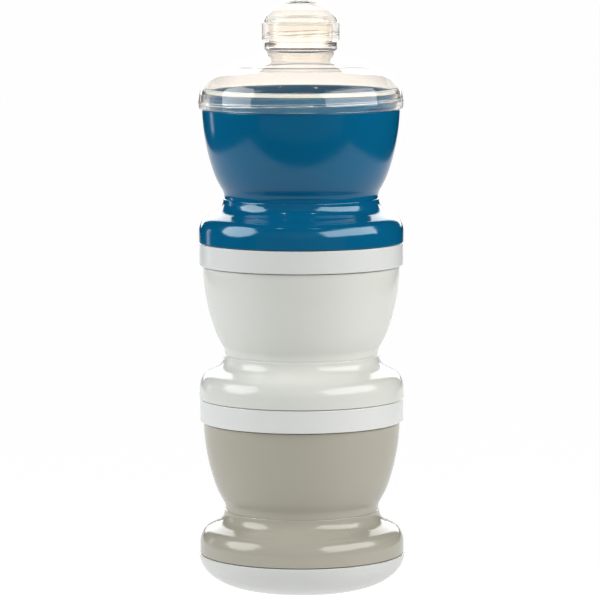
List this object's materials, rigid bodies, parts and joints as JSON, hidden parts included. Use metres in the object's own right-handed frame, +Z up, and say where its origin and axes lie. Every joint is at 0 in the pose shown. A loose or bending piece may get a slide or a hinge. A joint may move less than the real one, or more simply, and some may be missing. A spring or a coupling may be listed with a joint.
{
  "type": "formula dispenser",
  "caption": "Stack of screw-topped round powder compartments on a base dish, closed by a clear funnel lid with a capped pouring spout.",
  "frame": {"origin": "centre of the base dish's flat underside, on the ground", "axes": "+Z up along the common axis of all the round pieces, which is also the axis of every thread; X and Y are equal, the pieces being round"},
  "size_m": [0.081, 0.081, 0.2318],
  "materials": {
    "blue_plastic": "glossy moulded polypropylene, deep blue",
    "white_plastic": "glossy moulded polypropylene, warm white",
    "taupe_plastic": "glossy moulded polypropylene, taupe",
    "lid_plastic": "smooth moulded polypropylene, cool white",
    "clear_plastic": "clear moulded plastic, polished",
    "silicone": "translucent cream silicone, matt"
  },
  "bodies": {
    "base": {"base": "lid_plastic"},
    "lower_compartment": {"lower_foot": "taupe_plastic", "lower_bowl": "taupe_plastic"},
    "lower_seal": {"lower_seal": "silicone"},
    "lower_lid": {"lower_lid": "lid_plastic"},
    "middle_compartment": {"middle_foot": "white_plastic", "middle_bowl": "white_plastic"},
    "middle_seal": {"middle_seal": "silicone"},
    "middle_lid": {"middle_lid": "lid_plastic"},
    "upper_compartment": {"upper_foot": "blue_plastic", "upper_bowl": "blue_plastic"},
    "funnel_seal": {"funnel_seal": "silicone"},
    "funnel_lid": {"funnel_lid": "clear_plastic"},
    "spout_seal": {"spout_seal": "silicone"},
    "spout_cap": {"spout_cap": "clear_plastic"}
  },
  "joints": [
    {"name": "lower_pull_off", "type": "slide", "parent": "base", "child": "lower_compartment", "axis": [0, 0, 1], "range_m": [0, 0.03]},
    {"name": "lower_lid_rise", "type": "slide", "parent": "lower_compartment", "child": "lower_seal", "axis": [0, 0, 1], "range_m": [0, 0.006]},
    {"name": "lower_lid_turn", "type": "hinge", "parent": "lower_seal", "child": "lower_lid", "pos_m": [0, 0, 0.075], "axis": [0, 0, 1], "range_deg": [0, 540]},
    {"name": "middle_pull_off", "type": "slide", "parent": "lower_lid", "child": "middle_compartment", "axis": [0, 0, 1], "range_m": [0, 0.03]},
    {"name": "middle_lid_rise", "type": "slide", "parent": "middle_compartment", "child": "middle_seal", "axis": [0, 0, 1], "range_m": [0, 0.006]},
    {"name": "middle_lid_turn", "type": "hinge", "parent": "middle_seal", "child": "middle_lid", "pos_m": [0, 0, 0.1365], "axis": [0, 0, 1], "range_deg": [0, 540]},
    {"name": "upper_pull_off", "type": "slide", "parent": "middle_lid", "child": "upper_compartment", "axis": [0, 0, 1], "range_m": [0, 0.03]},
    {"name": "funnel_lid_rise", "type": "slide", "parent": "upper_compartment", "child": "funnel_seal", "axis": [0, 0, 1], "range_m": [0, 0.006]},
    {"name": "funnel_lid_turn", "type": "hinge", "parent": "funnel_seal", "child": "funnel_lid", "pos_m": [0, 0, 0.198], "axis": [0, 0, 1], "range_deg": [0, 540]},
    {"name": "spout_cap_rise", "type": "slide", "parent": "funnel_lid", "child": "spout_seal", "axis": [0, 0, 1], "range_m": [0, 0.0045]},
    {"name": "spout_cap_turn", "type": "hinge", "parent": "spout_seal", "child": "spout_cap", "pos_m": [0, 0, 0.218], "axis": [0, 0, 1], "range_deg": [0, 540]}
  ],
  "couplings": [
    {"joint": "lower_lid_rise", "follows": "lower_lid_turn", "m_per_rad": 0.00063662},
    {"joint": "middle_lid_rise", "follows": "middle_lid_turn", "m_per_rad": 0.00063662},
    {"joint": "funnel_lid_rise", "follows": "funnel_lid_turn", "m_per_rad": 0.00063662},
    {"joint": "spout_cap_rise", "follows": "spout_cap_turn", "m_per_rad": 0.00047746}
  ]
}
